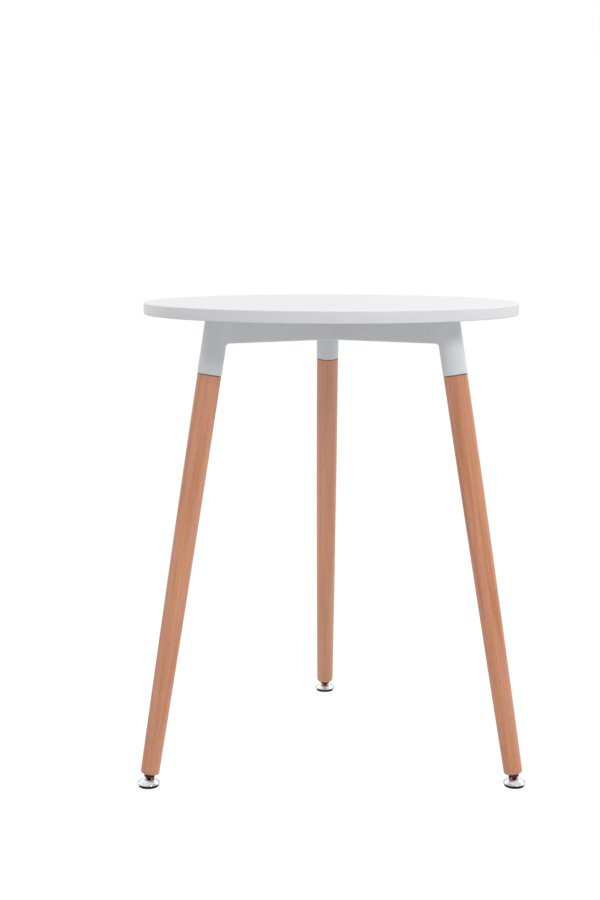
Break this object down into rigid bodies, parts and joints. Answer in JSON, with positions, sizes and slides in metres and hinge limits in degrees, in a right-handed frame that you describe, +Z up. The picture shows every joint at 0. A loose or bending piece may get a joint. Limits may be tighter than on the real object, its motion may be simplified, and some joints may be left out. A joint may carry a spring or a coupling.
{
  "type": "round side table",
  "caption": "Round white table on three splayed, tapered wooden legs, held by a grey three-armed bracket and standing on screw-adjusted swivel feet.",
  "frame": {"origin": "on the floor, under the centre of the table's bounding box; the board's own axis is 24.6 mm in front of it, because the rear foot reaches past the rim", "axes": "+Z up; +Y towards the rear leg; +X to the right as seen from the front, where the two front legs stand left and right"},
  "size_m": [0.6096, 0.6492, 0.75],
  "materials": {
    "table_top": "white satin lacquer on fibreboard",
    "bracket": "light grey powder coat on a casting",
    "leg": "oiled beech, fine short grain",
    "screw": "zinc plated",
    "insert": "zinc plated",
    "foot_stud": "zinc plated",
    "foot_seat": "natural nylon",
    "foot_cup": "bright chrome plate",
    "foot_pad": "moulded black rubber"
  },
  "bodies": {
    "table": {"table_top": "table_top", "bracket": "bracket", "front_left_inner_top_screw": "screw", "front_left_inner_top_insert": "insert", "front_left_outer_top_screw": "screw", "front_left_outer_top_insert": "insert", "front_right_inner_top_screw": "screw", "front_right_inner_top_insert": "insert", "front_right_outer_top_screw": "screw", "front_right_outer_top_insert": "insert", "rear_inner_top_screw": "screw", "rear_inner_top_insert": "insert", "rear_outer_top_screw": "screw", "rear_outer_top_insert": "insert", "front_left_leg": "leg", "front_left_leg_insert": "insert", "front_left_leg_bolt": "screw", "front_left_leg_washer": "screw", "front_left_foot_insert": "insert", "front_right_leg": "leg", "front_right_leg_insert": "insert", "front_right_leg_bolt": "screw", "front_right_leg_washer": "screw", "front_right_foot_insert": "insert", "rear_leg": "leg", "rear_leg_insert": "insert", "rear_leg_bolt": "screw", "rear_leg_washer": "screw", "rear_foot_insert": "insert"},
    "front_left_seat": {"front_left_foot_seat": "foot_seat"},
    "front_left_stud": {"front_left_foot_stud": "foot_stud"},
    "front_left_foot": {"front_left_foot_cup": "foot_cup", "front_left_foot_pad": "foot_pad"},
    "front_right_seat": {"front_right_foot_seat": "foot_seat"},
    "front_right_stud": {"front_right_foot_stud": "foot_stud"},
    "front_right_foot": {"front_right_foot_cup": "foot_cup", "front_right_foot_pad": "foot_pad"},
    "rear_seat": {"rear_foot_seat": "foot_seat"},
    "rear_stud": {"rear_foot_stud": "foot_stud"},
    "rear_foot": {"rear_foot_cup": "foot_cup", "rear_foot_pad": "foot_pad"}
  },
  "joints": [
    {"name": "front_left_foot_height", "type": "slide", "parent": "table", "child": "front_left_seat", "axis": [-0.1504, -0.0868, -0.9848], "range_m": [0, 0.01]},
    {"name": "front_left_stud_turn", "type": "hinge", "parent": "front_left_seat", "child": "front_left_stud", "pos_m": [-0.28704, -0.19032, 0.0088], "axis": [-0.1504, -0.0868, -0.9848], "range_deg": [0, 2880]},
    {"name": "front_left_foot_tilt", "type": "hinge", "parent": "front_left_seat", "child": "front_left_foot", "pos_m": [-0.28704, -0.19032, 0.0088], "axis": [0.5, -0.866, 0], "range_deg": [-22, 2]},
    {"name": "front_right_foot_height", "type": "slide", "parent": "table", "child": "front_right_seat", "axis": [0.1504, -0.0868, -0.9848], "range_m": [0, 0.01]},
    {"name": "front_right_stud_turn", "type": "hinge", "parent": "front_right_seat", "child": "front_right_stud", "pos_m": [0.28704, -0.19032, 0.0088], "axis": [0.1504, -0.0868, -0.9848], "range_deg": [0, 2880]},
    {"name": "front_right_foot_tilt", "type": "hinge", "parent": "front_right_seat", "child": "front_right_foot", "pos_m": [0.28704, -0.19032, 0.0088], "axis": [0.5, 0.866, 0], "range_deg": [-22, 2]},
    {"name": "rear_foot_height", "type": "slide", "parent": "table", "child": "rear_seat", "axis": [0, 0.1736, -0.9848], "range_m": [0, 0.01]},
    {"name": "rear_stud_turn", "type": "hinge", "parent": "rear_seat", "child": "rear_stud", "pos_m": [0, 0.30685, 0.0088], "axis": [0, 0.1736, -0.9848], "range_deg": [0, 2880]},
    {"name": "rear_foot_tilt", "type": "hinge", "parent": "rear_seat", "child": "rear_foot", "pos_m": [0, 0.30685, 0.0088], "axis": [-1, 0, 0], "range_deg": [-22, 2]}
  ],
  "couplings": [
    {"joint": "front_left_stud_turn", "follows": "front_left_foot_height", "rad_per_m": 5026.5},
    {"joint": "front_right_stud_turn", "follows": "front_right_foot_height", "rad_per_m": 5026.5},
    {"joint": "rear_stud_turn", "follows": "rear_foot_height", "rad_per_m": 5026.5}
  ]
}
